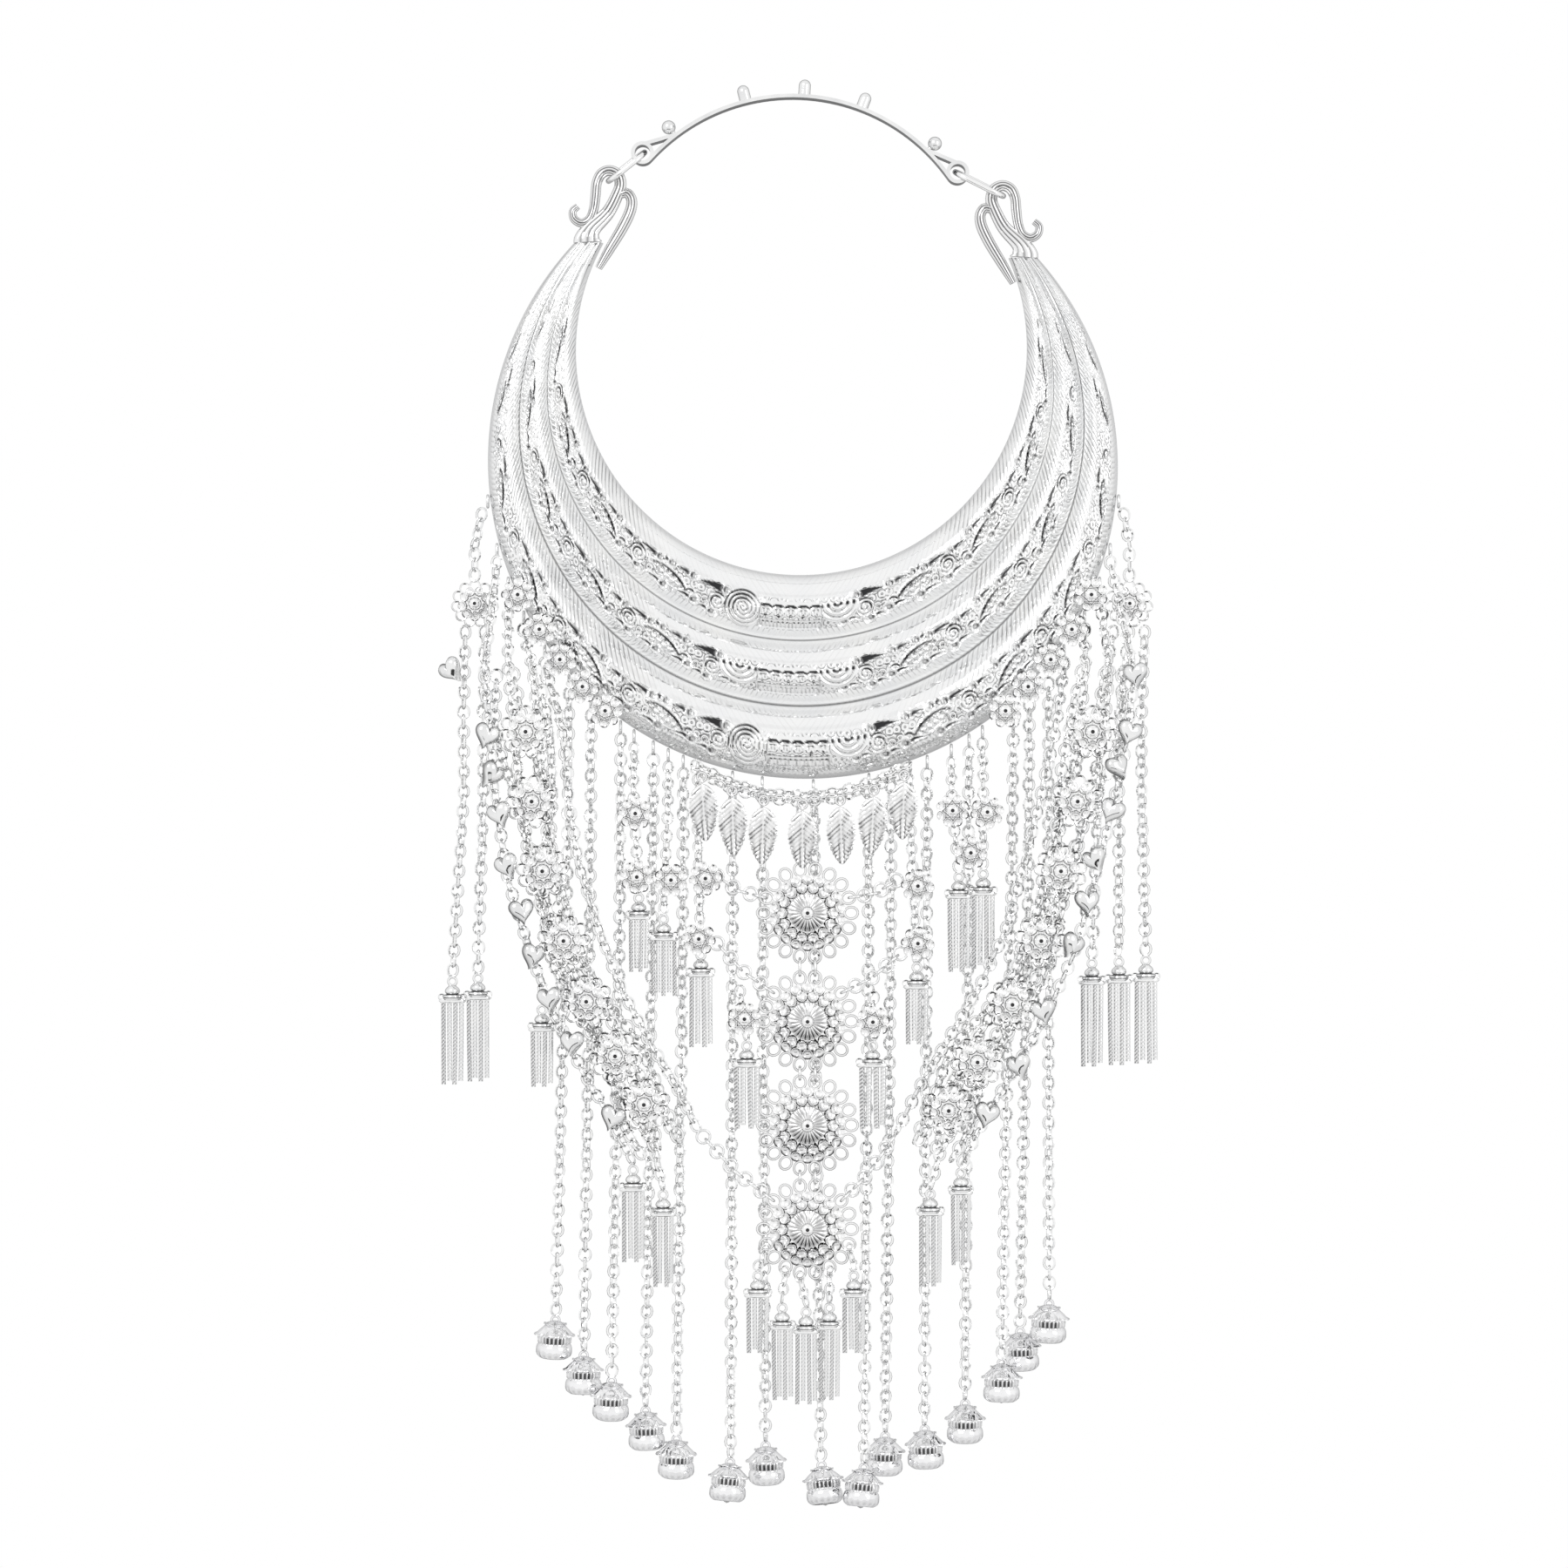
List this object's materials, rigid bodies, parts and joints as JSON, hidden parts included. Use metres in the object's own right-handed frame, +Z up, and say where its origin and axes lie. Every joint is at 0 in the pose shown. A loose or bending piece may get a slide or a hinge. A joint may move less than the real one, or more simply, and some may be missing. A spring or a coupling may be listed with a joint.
{
  "type": "ceremonial collar necklace",
  "caption": "Wide collar of three nested embossed crescents with a nape arc, end hooks and a long hanging curtain of chains, flower plates, leaves, hearts, tassels and bells.",
  "frame": {"origin": "under the middle of the nape arc, where the collar rests on the back of the neck", "axes": "+Z up, front faces -Y, +X to the right seen from the front"},
  "size_m": [0.2395, 0.0301, 0.4747],
  "materials": {
    "polished_silver": "polished silver plating",
    "bright_silver": "bright polished silver plating",
    "pale_silver": "fine woven silver-plated wire"
  },
  "bodies": {
    "root": {"crescent_inner": "polished_silver", "crescent_middle": "polished_silver", "crescent_outer": "polished_silver", "end_hook_left": "bright_silver", "end_hook_right": "bright_silver", "nape_arc": "polished_silver", "nape_link_left": "bright_silver", "nape_link_right": "bright_silver", "edge_rings": "pale_silver", "bell_chain_1": "polished_silver", "bell_chain_2": "polished_silver", "bell_chain_3": "polished_silver", "bell_chain_4": "polished_silver", "bell_chain_5": "polished_silver", "bell_chain_6": "polished_silver", "bell_chain_7": "polished_silver", "bell_chain_8": "polished_silver", "bell_chain_9": "polished_silver", "bell_chain_10": "polished_silver", "bell_chain_11": "polished_silver", "bell_chain_12": "polished_silver", "bell_chain_13": "polished_silver", "bell_chain_14": "polished_silver", "bell_chain_15": "polished_silver", "bell_1": "polished_silver", "bell_2": "polished_silver", "bell_3": "polished_silver", "bell_4": "polished_silver", "bell_5": "polished_silver", "bell_6": "polished_silver", "bell_7": "polished_silver", "bell_8": "polished_silver", "bell_9": "polished_silver", "bell_10": "polished_silver", "bell_11": "polished_silver", "bell_12": "polished_silver", "bell_13": "polished_silver", "bell_14": "polished_silver", "bell_15": "polished_silver", "side_chains_left": "polished_silver", "side_chains_right": "polished_silver", "side_tassels_left": "pale_silver", "side_tassels_right": "pale_silver", "garland_left": "polished_silver", "garland_right": "polished_silver", "flowers_left": "bright_silver", "flowers_right": "bright_silver", "hearts_left": "bright_silver", "hearts_right": "bright_silver", "leaf_chain": "polished_silver", "leaf_row": "bright_silver", "drop_chains": "polished_silver", "rosette_1": "bright_silver", "rosette_2": "bright_silver", "rosette_3": "bright_silver", "rosette_4": "bright_silver", "centre_links": "polished_silver", "tassels_left": "pale_silver", "tassels_right": "pale_silver", "tassels_bottom": "pale_silver"}
  },
  "joints": []
}
